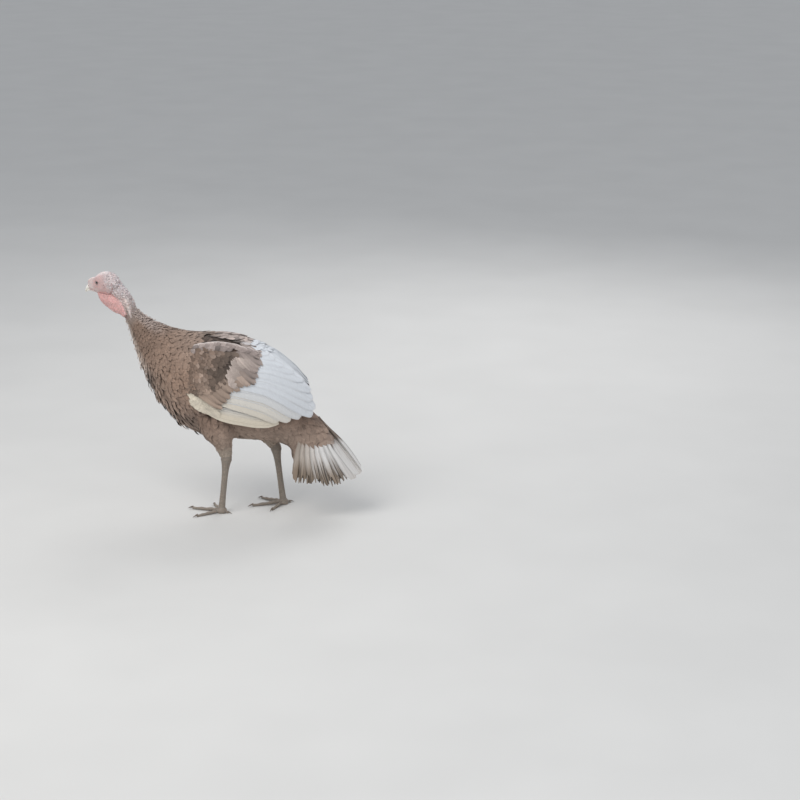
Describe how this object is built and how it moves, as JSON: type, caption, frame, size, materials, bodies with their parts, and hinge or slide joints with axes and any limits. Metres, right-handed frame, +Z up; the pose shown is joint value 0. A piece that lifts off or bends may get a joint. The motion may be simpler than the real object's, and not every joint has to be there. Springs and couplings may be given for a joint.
{
  "type": "domestic turkey model",
  "caption": "Life-size still model of a domestic turkey hen standing in mid-stride, with folded wings, a drooped fan tail and her head turned to one side.",
  "frame": {"origin": "on the floor under the middle of the bird's bounding box", "axes": "+Z up; the bird faces -Y, and its left side is +X"},
  "size_m": [0.2176, 0.7426, 0.6277],
  "materials": {
    "buff_plumage": "soft taupe-buff contour feathers with paler edges",
    "white_plumage": "white vaned feathers",
    "cream_plumage": "cream vaned feathers",
    "skin": "pale pink-grey wrinkled bare skin",
    "wattle": "soft pink bare skin",
    "horn": "pale semi-gloss horn",
    "eye": "dark, wet gloss",
    "leg": "grey-tan horny scales",
    "claw": "worn dull horn"
  },
  "bodies": {
    "root": {"head": "skin", "neck_bare": "skin", "ear_left": "skin", "ear_right": "skin", "snood": "wattle", "wattle": "wattle", "bill_upper": "horn", "bill_lower": "horn", "eye_left": "eye", "eye_right": "eye", "neck": "buff_plumage", "trunk": "buff_plumage", "tail_coverts": "buff_plumage", "tail": "white_plumage", "wing_left_arm": "buff_plumage", "wing_left_secondaries": "white_plumage", "wing_left_primaries": "cream_plumage", "wing_right_arm": "buff_plumage", "wing_right_secondaries": "white_plumage", "wing_right_primaries": "cream_plumage", "thigh_left": "buff_plumage", "thigh_right": "buff_plumage", "shank_left": "leg", "shank_right": "leg", "foot_left": "leg", "foot_right": "leg", "toe_left_inner": "leg", "toe_left_middle": "leg", "toe_left_outer": "leg", "toe_left_hind": "leg", "toe_right_inner": "leg", "toe_right_middle": "leg", "toe_right_outer": "leg", "toe_right_hind": "leg", "claw_left_inner": "claw", "claw_left_middle": "claw", "claw_left_outer": "claw", "claw_left_hind": "claw", "claw_right_inner": "claw", "claw_right_middle": "claw", "claw_right_outer": "claw", "claw_right_hind": "claw"}
  },
  "joints": []
}
